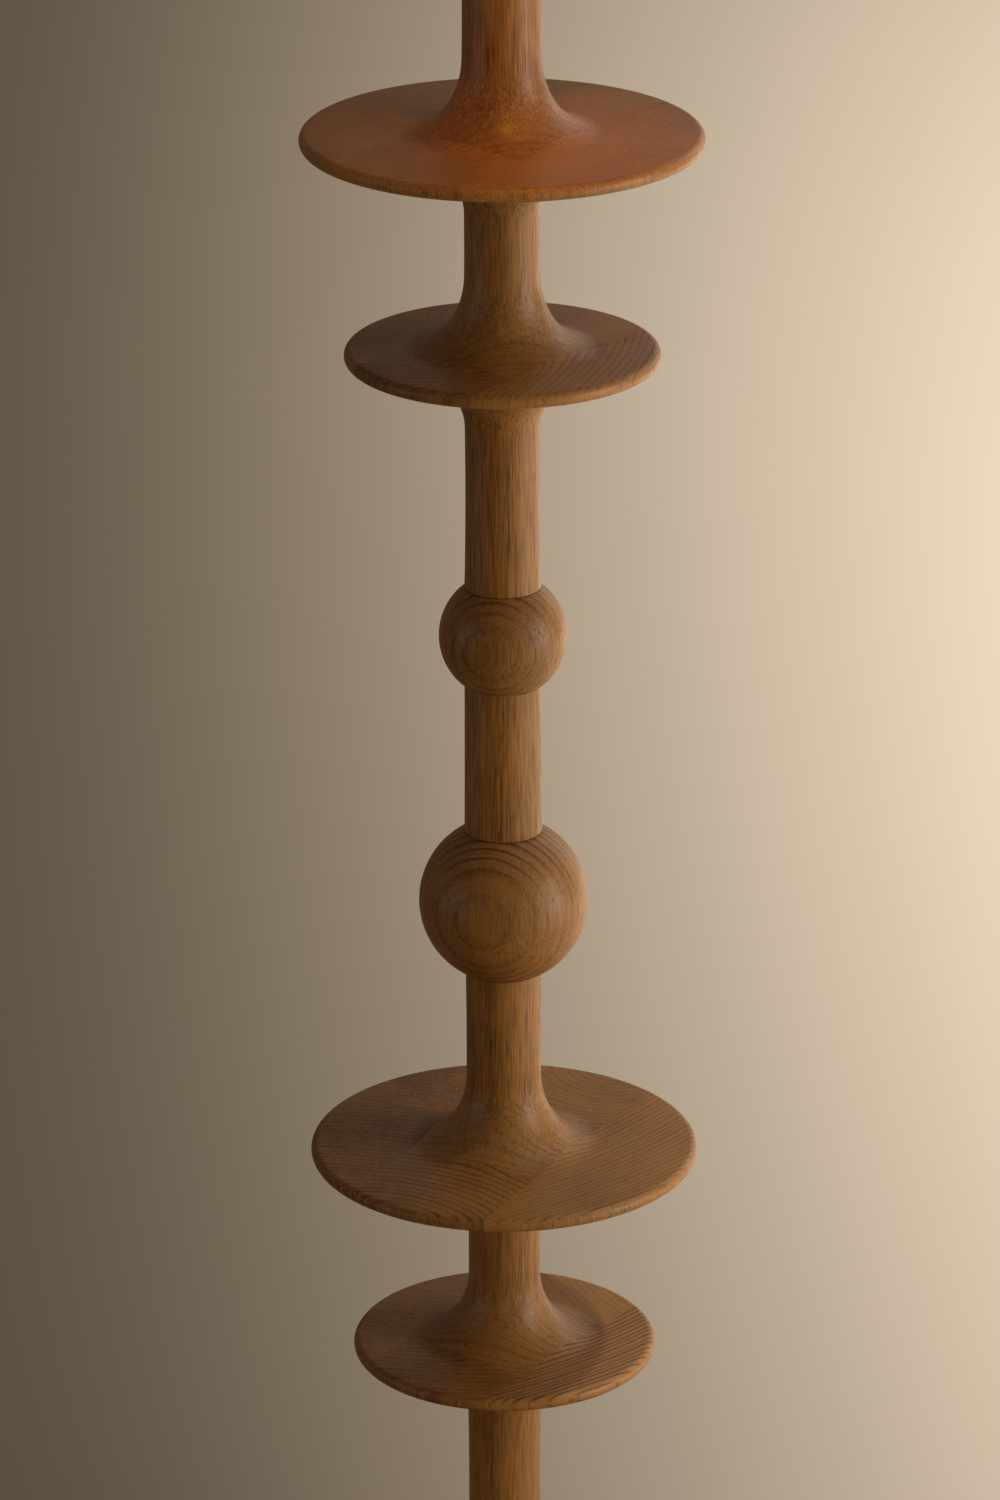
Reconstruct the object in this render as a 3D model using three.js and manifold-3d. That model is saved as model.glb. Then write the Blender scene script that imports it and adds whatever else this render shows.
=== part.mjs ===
// A tall turned-oak candlestick, in millimetres, +Z up. The origin is the centre of the felt's underside.
//
// The column is a stack of separately turned oak pieces on a steel tie rod. From the table up: a broad foot
// with a steel ballast plate in its recess, a small and a large disc, a large and a small ball, another small
// and large disc, and a candle cup with a loose brass insert. Every piece but the cup ends in a round spigot
// that seats in the socket of the piece above. Each disc is glued up from a square core, which carries the
// coves and the necks, and four wings: two long ones right across the disc and two short ones between them.

import * as THREE from "three";
import { mergeVertices } from "three/addons/utils/BufferGeometryUtils.js";
import Module from "manifold-3d";

const wasm = await Module();
wasm.setup();

// ---- Driving dimensions ----

const GAP = 0.3; // clearance left between neighbouring pieces
const BROAD_FACETS = 32; // facets round the foot, its plate and the discs
const BALL_FACETS = 24; // facets round a ball and round the brass insert
const STEM_FACETS = 20; // facets round a stem and round the steel rod and washers
const SCREW_FACETS = 10; // facets round a wood screw
const CURVE_STEPS = 4; // straight steps along a quarter of a cove
const BALL_STEPS = 8; // straight steps up the side of a ball
const STEM_STEPS = 2; // straight steps up a stem

// Each disc's radius, the height of its middle above the table, and its glue-up's angle in degrees.
const SMALL_DISC_RADIUS = 50.8;
const LARGE_DISC_RADIUS = 64.4;
const LOWER_SMALL_DISC = { radius: SMALL_DISC_RADIUS, centre: 128.4, turn: -36 };
const LOWER_LARGE_DISC = { radius: LARGE_DISC_RADIUS, centre: 200.2, turn: -28 };
const UPPER_SMALL_DISC = { radius: SMALL_DISC_RADIUS, centre: 477.8, turn: -40 };
const UPPER_LARGE_DISC = { radius: LARGE_DISC_RADIUS, centre: 549.3, turn: -34 };
const DISC_RIM_THICKNESS = 4.8; // the rim is a half-round of this thickness
const UPPER_COVE = { run: 19.6, rise: 24.2 }; // quarter ellipse from the stem down onto the disc
const LOWER_COVE = { run: 30, rise: 22 }; // quarter ellipse from the disc down into the stem
const CORE_SIDE = 48; // side of the square core in each disc

// Each ball's radius and the height of its centre above the table. The candle cup is a third ball.
const LARGE_BALL = { radius: 27.85, centre: 289.4 };
const SMALL_BALL = { radius: 20.9, centre: 382.1 };
const CANDLE_CUP = { radius: 28, centre: 641 };

// Each stem's radius at its lower end, its upper end and how much it draws in halfway.
const FOOT_STEM = { bottom: 12.4, top: 12.35, waist: 0.25 };
const LOWER_NECK = { bottom: 11.95, top: 11.95, waist: 0 };
const LOWER_STEM = { bottom: 12.4, top: 12.55, waist: 0.05 };
const MIDDLE_STEM = { bottom: 12.8, top: 12.6, waist: 0.05 };
const UPPER_STEM = { bottom: 12.5, top: 12.2, waist: 0.25 };
const UPPER_NECK = { bottom: 12.2, top: 12.2, waist: 0.05 };
const TOP_STEM = { bottom: 12.75, top: 12.75, waist: 0.15 };

// The spigot on top of each piece and the bore for the tie rod.
const SPIGOT_RADIUS = 7;
const SPIGOT_HEIGHT = 9;
const SOCKET_RADIUS = SPIGOT_RADIUS + GAP;
const ROD_RADIUS = 3;
const BORE_RADIUS = ROD_RADIUS + GAP;

// The foot and what sits under it.
const FOOT = { radius: 85, rimThickness: 15, edgeRound: 6, crownHeight: 5, coveRun: 26, coveTop: 48 };
const FELT = { radius: 80, thickness: 2 };
const PLATE = { radius: 60, thickness: 8, holeRadius: 11, inset: 0.6 };
const SCREW = { count: 3, circle: 42, headRadius: 4, headHeight: 2.2, shankRadius: 2, length: 17 };
const SCREW_SLOT = { width: 1, depth: 1 };
const NUT = { acrossFlats: 10, thickness: 5 };
const LOWER_WASHER = { radius: 9, thickness: 1.6 };
const UPPER_WASHER = { radius: 6.6, thickness: 1.6 };
const ROD_END_PAST_NUT = 2;
const NUT_POCKET_RADIUS = 10.5;
const NUT_POCKET_HEIGHT = 10; // depth of the pocket in the foot, above the plate's recess
const CUP_SPIGOT_HEIGHT = 8; // the cup's own spigot points down into the top stem
const TOP_STEM_COUNTERBORE = 20; // room for the upper nut and the cup's spigot

// The candle cup and its brass insert.
const CUP_RIM_ABOVE_CENTRE = 14;
const CUP_BORE_DEPTH = 27;
const INSERT = { outer: 12.4, wall: 1.2, floor: 1.2, fillet: 1.5 };
const FLANGE = { radius: 32, seat: 24, rise: 2 };

// ---- Materials ----

const finish = (color, roughness, metalness) =>
  new THREE.MeshStandardMaterial({ color, roughness, metalness });
const oak = finish(0x8a5a2e, 0.5, 0);
const oakCore = finish(0x7c4f28, 0.5, 0);
const oakWing = finish(0x946536, 0.5, 0);
const oakBall = finish(0x7f4c22, 0.45, 0);
const brass = finish(0xb5904c, 0.3, 1);
const steel = finish(0x8d9094, 0.4, 1);
const felt = finish(0x2b2a28, 0.95, 0);

// ---- Shape helpers ----

const point = (radius, height) => new THREE.Vector2(radius, height);

// A solid turned round +Z from a profile of (radius, height) points that closes on itself or on the axis.
function turned(profile, facets) {
  return new THREE.LatheGeometry(profile, facets).rotateX(Math.PI / 2);
}

// Points along a quarter of an ellipse, anticlockwise from an angle in radians.
function quarterEllipse(centre, run, rise, fromAngle, steps = CURVE_STEPS) {
  return Array.from({ length: steps + 1 }, (_, i) => {
    const angle = fromAngle + (i / steps) * (Math.PI / 2);
    return point(centre.x + run * Math.cos(angle), centre.y + rise * Math.sin(angle));
  });
}

function solidOf(geometry) {
  const bare = geometry.clone();
  bare.deleteAttribute("normal");
  bare.deleteAttribute("uv");
  const merged = mergeVertices(bare);
  return new wasm.Manifold(
    new wasm.Mesh({
      numProp: 3,
      vertProperties: merged.attributes.position.array,
      triVerts: new Uint32Array(merged.index.array),
    }),
  );
}

function geometryOf(solid) {
  const mesh = solid.getMesh();
  const geometry = new THREE.BufferGeometry();
  geometry.setAttribute("position", new THREE.BufferAttribute(mesh.vertProperties, 3));
  geometry.setIndex(new THREE.BufferAttribute(mesh.triVerts, 1));
  geometry.computeVertexNormals();
  return geometry;
}

const candlestick = new THREE.Group();

function add(name, geometry, material) {
  const mesh = new THREE.Mesh(geometry, material);
  mesh.name = name;
  candlestick.add(mesh);
  return mesh;
}

// ---- The stack ----

// Closes an outline, drawn up the outside of a piece, with its spigot, tie-rod bore and socket.
function bored(outline) {
  const low = outline[0];
  const high = outline[outline.length - 1];
  return [
    ...outline,
    point(SPIGOT_RADIUS, high.y),
    point(SPIGOT_RADIUS, high.y + SPIGOT_HEIGHT),
    point(BORE_RADIUS, high.y + SPIGOT_HEIGHT),
    point(BORE_RADIUS, low.y + SPIGOT_HEIGHT),
    point(SOCKET_RADIUS, low.y + SPIGOT_HEIGHT),
    point(SOCKET_RADIUS, low.y),
    low.clone(),
  ];
}

// The outside of a stem between two seams.
function stemOutline(stem, bottom, top) {
  const low = bottom + GAP;
  return Array.from({ length: STEM_STEPS + 1 }, (_, i) => {
    const t = i / STEM_STEPS;
    const radius = stem.bottom + (stem.top - stem.bottom) * t - stem.waist * 4 * t * (1 - t);
    return point(radius, low + (top - low) * t);
  });
}

// The outside of a ball from the radius below it to the radius above it.
function ballOutline({ radius, centre }, below, above) {
  const from = -Math.acos(below / radius);
  const to = Math.acos(above / radius);
  const outline = Array.from({ length: BALL_STEPS + 1 }, (_, i) => {
    const angle = from + (i / BALL_STEPS) * (to - from);
    return point(radius * Math.cos(angle), centre + radius * Math.sin(angle));
  });
  outline[0].y += GAP;
  return outline;
}

// How far from a ball's centre a stem of this radius meets it.
const crease = (ball, radius) => Math.sqrt(ball.radius ** 2 - radius ** 2);

// The outside of a disc with its coves, from the stem's radius below it to that above it.
function discOutline({ radius, centre }, below, above) {
  const half = DISC_RIM_THICKNESS / 2;
  const underside = point(below + LOWER_COVE.run, centre - half - LOWER_COVE.rise);
  const topside = point(above + UPPER_COVE.run, centre + half + UPPER_COVE.rise);
  const lower = quarterEllipse(underside, LOWER_COVE.run, LOWER_COVE.rise, Math.PI / 2).reverse();
  const rim = [-1, -0.5, 0, 0.5, 1].map((share) => {
    const angle = (share * Math.PI) / 2;
    return point(radius - half + half * Math.cos(angle), centre + half * Math.sin(angle));
  });
  const upper = quarterEllipse(topside, UPPER_COVE.run, UPPER_COVE.rise, Math.PI).reverse();
  const outline = [...lower, ...rim, ...upper];
  outline[0].y += GAP;
  return outline;
}

const discBottom = (disc) => disc.centre - DISC_RIM_THICKNESS / 2 - LOWER_COVE.rise;
const discTop = (disc) => disc.centre + DISC_RIM_THICKNESS / 2 + UPPER_COVE.rise;

// A block of wood, taller than a disc with its coves, that marks out one piece of the disc's glue-up.
function block(width, depth, x, y, disc) {
  const height = 4 * (LOWER_COVE.rise + UPPER_COVE.rise);
  const box = new THREE.BoxGeometry(width, depth, height);
  box.translate(x, y, disc.centre).rotateZ(THREE.MathUtils.degToRad(disc.turn));
  return solidOf(box);
}

// One disc: a square core and four wings cut from the same turned shape, each GAP apart. The long wings lie
// on the core's local X sides and the short ones on its Y sides.
function addDisc(name, disc, stemBelow, stemAbove) {
  const outline = discOutline(disc, stemBelow.top, stemAbove.bottom);
  const whole = solidOf(turned(bored(outline), BROAD_FACETS));
  const reach = 2 * disc.radius;
  const inner = CORE_SIDE / 2;
  const outer = inner + GAP;
  const far = outer + reach / 2;
  const blocks = {
    core: block(CORE_SIDE, CORE_SIDE, 0, 0, disc),
    wing_1: block(reach, 2 * reach, far, 0, disc),
    wing_2: block(CORE_SIDE, reach, 0, far, disc),
    wing_3: block(reach, 2 * reach, -far, 0, disc),
    wing_4: block(CORE_SIDE, reach, 0, -far, disc),
  };
  for (const [piece, shape] of Object.entries(blocks)) {
    const material = piece === "core" ? oakCore : oakWing;
    add(`${name}_${piece}`, geometryOf(whole.intersect(shape)), material);
  }
}

function addStem(name, stem, bottom, top) {
  add(name, turned(bored(stemOutline(stem, bottom, top)), STEM_FACETS), oak);
}

function addBall(name, ball, stemBelow, stemAbove) {
  add(name, turned(bored(ballOutline(ball, stemBelow.top, stemAbove.bottom)), BALL_FACETS), oakBall);
}

const largeBallBottom = LARGE_BALL.centre - crease(LARGE_BALL, LOWER_STEM.top);
const largeBallTop = LARGE_BALL.centre + crease(LARGE_BALL, MIDDLE_STEM.bottom);
const smallBallBottom = SMALL_BALL.centre - crease(SMALL_BALL, MIDDLE_STEM.top);
const smallBallTop = SMALL_BALL.centre + crease(SMALL_BALL, UPPER_STEM.bottom);
const cupBottom = CANDLE_CUP.centre - crease(CANDLE_CUP, TOP_STEM.top);

addStem("foot_stem", FOOT_STEM, FOOT.coveTop, discBottom(LOWER_SMALL_DISC));
addDisc("lower_small_disc", LOWER_SMALL_DISC, FOOT_STEM, LOWER_NECK);
addStem("lower_neck", LOWER_NECK, discTop(LOWER_SMALL_DISC), discBottom(LOWER_LARGE_DISC));
addDisc("lower_large_disc", LOWER_LARGE_DISC, LOWER_NECK, LOWER_STEM);
addStem("lower_stem", LOWER_STEM, discTop(LOWER_LARGE_DISC), largeBallBottom);
addBall("large_ball", LARGE_BALL, LOWER_STEM, MIDDLE_STEM);
addStem("middle_stem", MIDDLE_STEM, largeBallTop, smallBallBottom);
addBall("small_ball", SMALL_BALL, MIDDLE_STEM, UPPER_STEM);
addStem("upper_stem", UPPER_STEM, smallBallTop, discBottom(UPPER_SMALL_DISC));
addDisc("upper_small_disc", UPPER_SMALL_DISC, UPPER_STEM, UPPER_NECK);
addStem("upper_neck", UPPER_NECK, discTop(UPPER_SMALL_DISC), discBottom(UPPER_LARGE_DISC));
addDisc("upper_large_disc", UPPER_LARGE_DISC, UPPER_NECK, TOP_STEM);

// ---- The top stem: the upper nut and the cup's spigot share a counterbore in its upper end ----

const topStemOutline = stemOutline(TOP_STEM, discTop(UPPER_LARGE_DISC), cupBottom);
const counterboreFloor = cupBottom - TOP_STEM_COUNTERBORE;
const topStemSocket = topStemOutline[0].y + SPIGOT_HEIGHT;
const topStemProfile = [
  ...topStemOutline,
  point(SOCKET_RADIUS, cupBottom),
  point(SOCKET_RADIUS, counterboreFloor),
  point(BORE_RADIUS, counterboreFloor),
  point(BORE_RADIUS, topStemSocket),
  point(SOCKET_RADIUS, topStemSocket),
  point(SOCKET_RADIUS, topStemOutline[0].y),
  topStemOutline[0].clone(),
];
add("top_stem", turned(topStemProfile, STEM_FACETS), oak);

// ---- The foot: a broad rounded disc that sweeps up into the column, hollow below for the ballast ----

const footUnderside = FELT.thickness + GAP;
const plateBottom = FELT.thickness + PLATE.inset;
const plateTop = plateBottom + PLATE.thickness;
const recessCeiling = plateTop + GAP;
const pocketCeiling = recessCeiling + NUT_POCKET_HEIGHT;
const rimTop = footUnderside + FOOT.rimThickness;
const crown = rimTop + FOOT.crownHeight;

const footOutline = [
  point(FOOT.radius - FOOT.edgeRound / 2, footUnderside),
  ...quarterEllipse(
    point(FOOT.radius - FOOT.edgeRound / 2, footUnderside + FOOT.edgeRound / 2),
    FOOT.edgeRound / 2,
    FOOT.edgeRound / 2,
    -Math.PI / 2,
    2,
  ).slice(1),
  ...quarterEllipse(
    point(FOOT.radius - FOOT.edgeRound, rimTop - FOOT.edgeRound),
    FOOT.edgeRound,
    FOOT.edgeRound,
    0,
    3,
  ),
  ...quarterEllipse(
    point(FOOT_STEM.bottom + FOOT.coveRun, FOOT.coveTop),
    FOOT.coveRun,
    FOOT.coveTop - crown,
    Math.PI,
  ).reverse(),
];
const footProfile = [
  ...footOutline,
  point(SPIGOT_RADIUS, FOOT.coveTop),
  point(SPIGOT_RADIUS, FOOT.coveTop + SPIGOT_HEIGHT),
  point(BORE_RADIUS, FOOT.coveTop + SPIGOT_HEIGHT),
  point(BORE_RADIUS, pocketCeiling),
  point(NUT_POCKET_RADIUS, pocketCeiling),
  point(NUT_POCKET_RADIUS, recessCeiling),
  point(PLATE.radius + GAP, recessCeiling),
  point(PLATE.radius + GAP, footUnderside),
  footOutline[0].clone(),
];
const plateProfile = [
  point(PLATE.holeRadius, plateBottom),
  point(PLATE.radius, plateBottom),
  point(PLATE.radius, plateTop),
  point(PLATE.holeRadius, plateTop),
  point(PLATE.holeRadius, plateBottom),
];
const feltProfile = [
  point(0, 0),
  point(FELT.radius, 0),
  point(FELT.radius, FELT.thickness),
  point(0, FELT.thickness),
];

// A countersunk wood screw standing point up, with its head's face at height zero.
function screwShape(clearance) {
  const head = SCREW.headRadius + clearance;
  const shank = SCREW.shankRadius + clearance;
  const tip = SCREW.length + clearance;
  const profile = [
    point(0, -clearance),
    point(head, -clearance),
    point(head, 0),
    point(shank, SCREW.headHeight),
    point(shank, tip - shank),
    point(0, tip),
  ];
  return turned(profile, SCREW_FACETS);
}

let footSolid = solidOf(turned(footProfile, BROAD_FACETS));
let plateSolid = solidOf(turned(plateProfile, BROAD_FACETS));
for (let i = 0; i < SCREW.count; i += 1) {
  const angle = (i / SCREW.count) * 2 * Math.PI + Math.PI / 2;
  const place = [SCREW.circle * Math.cos(angle), SCREW.circle * Math.sin(angle), plateBottom + GAP];
  const hole = solidOf(screwShape(GAP).translate(...place));
  footSolid = footSolid.subtract(hole);
  plateSolid = plateSolid.subtract(hole);
  const slot = new THREE.BoxGeometry(4 * SCREW.headRadius, SCREW_SLOT.width, 2 * SCREW_SLOT.depth);
  const screw = solidOf(screwShape(0)).subtract(solidOf(slot));
  add(`ballast_screw_${i + 1}`, geometryOf(screw), steel).position.set(...place);
}
add("foot", geometryOf(footSolid), oak);
add("ballast_plate", geometryOf(plateSolid), steel);
add("felt_pad", turned(feltProfile, BROAD_FACETS), felt);

// ---- The tie rod, with a nut and a washer at each end ----

function addWasher(name, washer, bottom) {
  const top = bottom + washer.thickness;
  const ring = [
    point(BORE_RADIUS, bottom),
    point(washer.radius, bottom),
    point(washer.radius, top),
    point(BORE_RADIUS, top),
    point(BORE_RADIUS, bottom),
  ];
  add(name, turned(ring, STEM_FACETS), steel);
}

function addNut(name, bottom) {
  const hexagon = new THREE.Shape();
  const corner = NUT.acrossFlats / Math.sqrt(3);
  for (let i = 0; i < 6; i += 1) {
    const angle = (i * Math.PI) / 3;
    const move = i === 0 ? "moveTo" : "lineTo";
    hexagon[move](corner * Math.cos(angle), corner * Math.sin(angle));
  }
  hexagon.closePath();
  hexagon.holes.push(new THREE.Path().absarc(0, 0, BORE_RADIUS, 0, 2 * Math.PI, true));
  const options = { depth: NUT.thickness, bevelEnabled: false, curveSegments: STEM_FACETS / 2 };
  add(name, new THREE.ExtrudeGeometry(hexagon, options), steel).position.z = bottom;
}

const lowerWasherBottom = pocketCeiling - GAP - LOWER_WASHER.thickness;
const lowerNutBottom = lowerWasherBottom - GAP - NUT.thickness;
const upperWasherBottom = counterboreFloor + GAP;
const upperNutBottom = upperWasherBottom + UPPER_WASHER.thickness + GAP;
const rodBottom = lowerNutBottom - ROD_END_PAST_NUT;
const rodTop = upperNutBottom + NUT.thickness + ROD_END_PAST_NUT;
addWasher("lower_washer", LOWER_WASHER, lowerWasherBottom);
addNut("lower_nut", lowerNutBottom);
addWasher("upper_washer", UPPER_WASHER, upperWasherBottom);
addNut("upper_nut", upperNutBottom);
const rodProfile = [
  point(0, rodBottom),
  point(ROD_RADIUS, rodBottom),
  point(ROD_RADIUS, rodTop),
  point(0, rodTop),
];
add("tie_rod", turned(rodProfile, STEM_FACETS), steel);

// ---- The candle cup: a ball cut open at the top, on its own spigot ----

const cupRim = CANDLE_CUP.centre + CUP_RIM_ABOVE_CENTRE;
const cupFloor = cupRim - CUP_BORE_DEPTH;
const cupRimRadius = crease(CANDLE_CUP, CUP_RIM_ABOVE_CENTRE);
const cupProfile = [
  point(0, cupBottom + GAP - CUP_SPIGOT_HEIGHT),
  point(SPIGOT_RADIUS, cupBottom + GAP - CUP_SPIGOT_HEIGHT),
  point(SPIGOT_RADIUS, cupBottom + GAP),
  ...ballOutline(CANDLE_CUP, TOP_STEM.top, cupRimRadius),
  point(INSERT.outer + GAP, cupRim),
  point(INSERT.outer + GAP, cupFloor),
  point(0, cupFloor),
];
add("candle_cup", turned(cupProfile, BALL_FACETS), oakBall);

// ---- The brass insert: a tube with a floor, and a drip flange that turns up at its edge ----

const flangeBottom = cupRim + GAP;
const flangeTop = flangeBottom + INSERT.wall;
const insertBottom = cupFloor + GAP;
const seat = insertBottom + INSERT.floor;
const bore = INSERT.outer - INSERT.wall;
const insertProfile = [
  point(0, insertBottom),
  point(INSERT.outer, insertBottom),
  point(INSERT.outer, flangeBottom),
  point(FLANGE.seat, flangeBottom),
  point(FLANGE.radius, flangeBottom + FLANGE.rise),
  point(FLANGE.radius, flangeTop + FLANGE.rise),
  point(FLANGE.seat, flangeTop),
  point(bore + INSERT.wall, flangeTop),
  point(bore, flangeBottom),
  point(bore, seat + INSERT.fillet),
  point(bore - INSERT.fillet, seat),
  point(0, seat),
];
add("candle_insert", turned(insertProfile, BALL_FACETS), brass);

export default candlestick;
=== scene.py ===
# A tall turned-oak candlestick with a loose brass insert, on a pale floor in soft light from the
# right. The object's dimensions are in millimetres, and each mesh is made in metres in the packed
# model's own frame. The floor, the lights and the camera are placed in metres.
import math

import bmesh
import bpy
from mathutils import Matrix, Vector


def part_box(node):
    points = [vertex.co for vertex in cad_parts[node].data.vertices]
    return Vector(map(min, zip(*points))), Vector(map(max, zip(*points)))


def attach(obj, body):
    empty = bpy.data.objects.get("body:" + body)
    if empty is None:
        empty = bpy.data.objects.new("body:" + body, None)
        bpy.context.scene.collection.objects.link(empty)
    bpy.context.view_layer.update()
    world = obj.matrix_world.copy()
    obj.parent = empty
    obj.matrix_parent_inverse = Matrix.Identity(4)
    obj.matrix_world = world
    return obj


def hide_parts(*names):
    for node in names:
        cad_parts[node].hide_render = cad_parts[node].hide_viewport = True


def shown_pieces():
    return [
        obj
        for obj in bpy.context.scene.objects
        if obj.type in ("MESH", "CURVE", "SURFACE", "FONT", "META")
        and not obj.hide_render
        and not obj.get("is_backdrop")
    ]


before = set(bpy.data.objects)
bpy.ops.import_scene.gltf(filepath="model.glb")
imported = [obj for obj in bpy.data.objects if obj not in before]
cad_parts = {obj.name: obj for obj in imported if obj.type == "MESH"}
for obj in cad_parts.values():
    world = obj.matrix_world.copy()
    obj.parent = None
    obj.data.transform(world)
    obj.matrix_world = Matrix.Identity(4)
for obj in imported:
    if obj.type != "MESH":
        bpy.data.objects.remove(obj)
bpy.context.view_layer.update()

MM = 0.001

# ---- Driving dimensions, as in the CAD ----

GAP = 0.3  # the clearance that the CAD leaves between neighbouring pieces
SEAM = 0.02  # the hairline that is left of it where two pieces are glued

SMALL_DISC_RADIUS = 50.8
LARGE_DISC_RADIUS = 64.4
DISC_RIM_THICKNESS = 4.8
UPPER_COVE = (19.6, 24.2)  # run and rise of the quarter ellipse above a disc
LOWER_COVE = (30, 22)  # and of the one below it
CORE_SIDE = 48

SMALL_BALL_RADIUS = 20.9
LARGE_BALL_RADIUS = 27.85
CUP_RADIUS = 28

# Each stem's radius at its lower end, its upper end and how much it draws in halfway.
STEMS = {
    "foot_stem": (12.4, 12.35, 0.25),
    "lower_neck": (11.95, 11.95, 0),
    "lower_stem": (12.4, 12.55, 0.05),
    "middle_stem": (12.8, 12.6, 0.05),
    "upper_stem": (12.5, 12.2, 0.25),
    "upper_neck": (12.2, 12.2, 0.05),
    "top_stem": (12.75, 12.75, 0.15),
}
# Each disc's radius, the stems that it runs into below and above, and the glue-up's angle in
# degrees.
DISCS = {
    "lower_small_disc": (SMALL_DISC_RADIUS, "foot_stem", "lower_neck", -36),
    "lower_large_disc": (LARGE_DISC_RADIUS, "lower_neck", "lower_stem", -28),
    "upper_small_disc": (SMALL_DISC_RADIUS, "upper_stem", "upper_neck", -40),
    "upper_large_disc": (LARGE_DISC_RADIUS, "upper_neck", "top_stem", -34),
}
# Each ball's radius and the stems below and above it.
BALLS = {
    "large_ball": (LARGE_BALL_RADIUS, "lower_stem", "middle_stem"),
    "small_ball": (SMALL_BALL_RADIUS, "middle_stem", "upper_stem"),
}

SPIGOT_RADIUS = 7
SPIGOT_HEIGHT = 9
SOCKET_RADIUS = SPIGOT_RADIUS + GAP
BORE_RADIUS = 3.3
COUNTERBORE_DEPTH = 20
CUP_SPIGOT_HEIGHT = 8
CUP_RIM_ABOVE_CENTRE = 14
CUP_BORE_DEPTH = 27
CUP_BORE_RADIUS = 12.7

FOOT_RADIUS = 85
FOOT_RIM_THICKNESS = 15
FOOT_EDGE_ROUND = 6
FOOT_CROWN_HEIGHT = 5  # how far the foot's top rises from its rim to its cove
FOOT_COVE_RUN = 26
RECESS_RADIUS = 60.3
RECESS_TOP = 10.9  # the recess's ceiling above the table
NUT_POCKET_RADIUS = 10.5
NUT_POCKET_HEIGHT = 10

INSERT_RADIUS = 12.4
INSERT_WALL = 1.2
FLANGE_RADIUS = 32
FLANGE_SEAT = 24  # the radius at which the flange starts to rise
FLANGE_RISE = 2

# How finely the meshes are made.
SEGMENTS = 144
COVE_STEPS = 20
BALL_STEPS = 56
STEM_STEPS = 10
ROUND_STEPS = 8
EASED_EDGE = 0.35  # the small bevel on an exposed arris
SHARP_ANGLE = math.radians(32)


# ---- Turned shapes ----

def low(cad_node):
    """The height of a CAD piece's lowest point."""
    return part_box(cad_node)[0].z / MM


def high(cad_node):
    """The height of a CAD piece's highest point."""
    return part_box(cad_node)[1].z / MM


def ellipse(centre, run, rise, start, sweep=90, steps=COVE_STEPS):
    """Points along an ellipse's arc, from start through sweep, both in degrees."""
    points = []
    for i in range(steps + 1):
        angle = math.radians(start + sweep * i / steps)
        points.append((centre[0] + run * math.cos(angle), centre[1] + rise * math.sin(angle)))
    return points


def arc(centre, radius, start, sweep=90, steps=ROUND_STEPS):
    """Points along a circle's arc, in the same way."""
    return ellipse(centre, radius, radius, start, sweep, steps)


def turn(profile):
    """A bmesh turned round the axis from (radius, height) points up the outside of a solid.

    The profile starts and ends on the axis, or else closes on itself.
    """
    bm = bmesh.new()
    rings = []
    for radius, height in profile:
        count = SEGMENTS if radius > 0 else 1
        ring = []
        for i in range(count):
            angle = 2 * math.pi * i / SEGMENTS
            place = Vector((radius * math.cos(angle), radius * math.sin(angle), height))
            ring.append(bm.verts.new(place * MM))
        rings.append(ring)
    pairs = list(zip(rings, rings[1:]))
    if len(rings[0]) > 1:
        pairs.append((rings[-1], rings[0]))
    for below, above in pairs:
        for i in range(SEGMENTS):
            j = (i + 1) % SEGMENTS
            corners = [below[i % len(below)], below[j % len(below)]]
            corners += [above[j % len(above)], above[i % len(above)]]
            bm.faces.new(dict.fromkeys(corners))
    return bm


def keep_behind(bm, planes):
    """Cuts away what lies in front of each (point in mm, normal) plane, and closes each cut."""
    for place, normal in planes:
        everything = bm.verts[:] + bm.edges[:] + bm.faces[:]
        plane = {"plane_co": Vector(place) * MM, "plane_no": normal}
        bmesh.ops.bisect_plane(bm, geom=everything, clear_outer=True, **plane)
        rim = [edge for edge in bm.edges if edge.is_boundary]
        bmesh.ops.holes_fill(bm, edges=rim, sides=0)


def added(name, data):
    """A new object with this data, in the scene."""
    thing = bpy.data.objects.new(name, data)
    bpy.context.scene.collection.objects.link(thing)
    return thing


def added_mesh(name, bm, material):
    """A new object with this bmesh's faces, in one material."""
    mesh = bpy.data.meshes.new(name)
    bm.to_mesh(mesh)
    bm.free()
    mesh.materials.append(material)
    return added(name, mesh)


def finished(name, bm, material, cad_node, body="candlestick"):
    """Makes the piece that stands for a CAD node: smooth, with its sharp edges kept."""
    bmesh.ops.recalc_face_normals(bm, faces=bm.faces[:])
    piece = added_mesh(name, bm, material)
    piece.data.shade_smooth()
    piece.data.set_sharp_from_angle(angle=SHARP_ANGLE)
    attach(piece, body)
    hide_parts(cad_node)
    return piece


def bored(outline):
    """Closes a piece's outline with its spigot, tie-rod bore and socket."""
    bottom = outline[0][1]
    top = outline[-1][1]
    return [
        *outline,
        (SPIGOT_RADIUS, top),
        (SPIGOT_RADIUS, top + SPIGOT_HEIGHT),
        (BORE_RADIUS, top + SPIGOT_HEIGHT),
        (BORE_RADIUS, bottom + SPIGOT_HEIGHT + GAP),
        (SOCKET_RADIUS, bottom + SPIGOT_HEIGHT + GAP),
        (SOCKET_RADIUS, bottom),
    ]


def stem_outline(name, bottom, top):
    """The outside of a stem, with a small bevel at its lower end where it stands on a ball."""
    first, last, waist = STEMS[name]
    points = []
    for i in range(STEM_STEPS + 1):
        t = i / STEM_STEPS
        radius = first + (last - first) * t - 4 * waist * t * (1 - t)
        points.append((radius, bottom + (top - bottom) * t))
    if name in [above for _, _, above in BALLS.values()]:
        points[0] = (first - EASED_EDGE, bottom)
        points.insert(1, (first, bottom + EASED_EDGE))
    return points


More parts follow.
